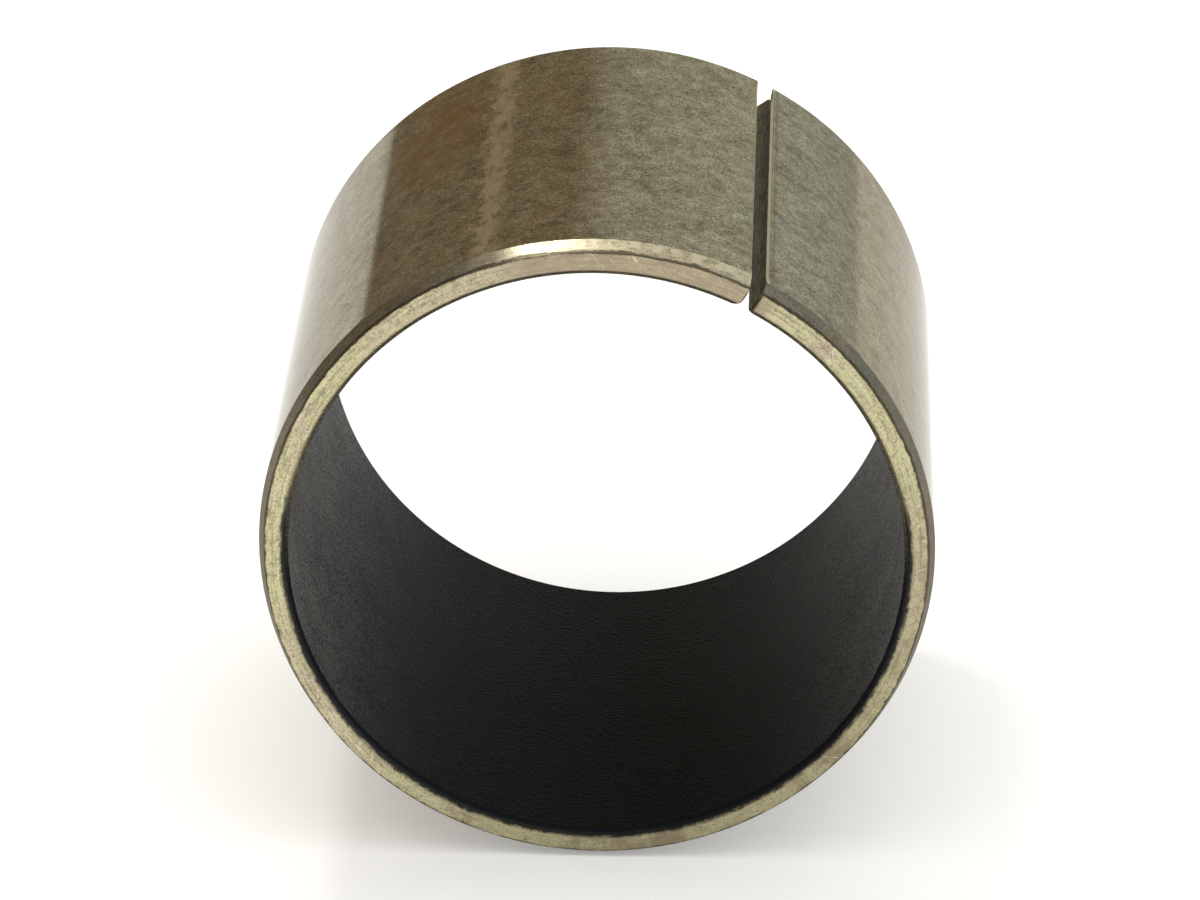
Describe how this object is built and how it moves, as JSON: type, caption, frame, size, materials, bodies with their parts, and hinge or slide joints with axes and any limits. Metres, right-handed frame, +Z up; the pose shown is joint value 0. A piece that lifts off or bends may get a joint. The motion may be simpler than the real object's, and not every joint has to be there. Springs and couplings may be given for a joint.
{
  "type": "wrapped plain bearing bush",
  "caption": "Wrapped cylindrical plain bearing bush: a rolled bronze strip with an open butt seam, chamfered ends and a dark self-lubricating lining in the bore.",
  "frame": {"origin": "middle of the bore: on the bore's axis, halfway along it", "axes": "+Y along the bore from the front end to the back end, +Z up with the bush lying on its side, +X to the right seen from the front; the seam is at 61.8 degrees from +X towards +Z"},
  "size_m": [0.055, 0.045, 0.055],
  "materials": {
    "rolled_bronze": "rolled and oxidised brown-grey outside, turned bright at the end faces and lead-in chamfers",
    "sintered_bronze": "porous sintered powder, matt, seen only where the end chamfers and the seam cut it",
    "lining": "dark grey polymer running-in skin, finely grained, satin"
  },
  "bodies": {
    "root": {"bronze_backing": "rolled_bronze", "sintered_bronze_layer": "sintered_bronze", "sliding_liner": "lining"}
  },
  "joints": []
}
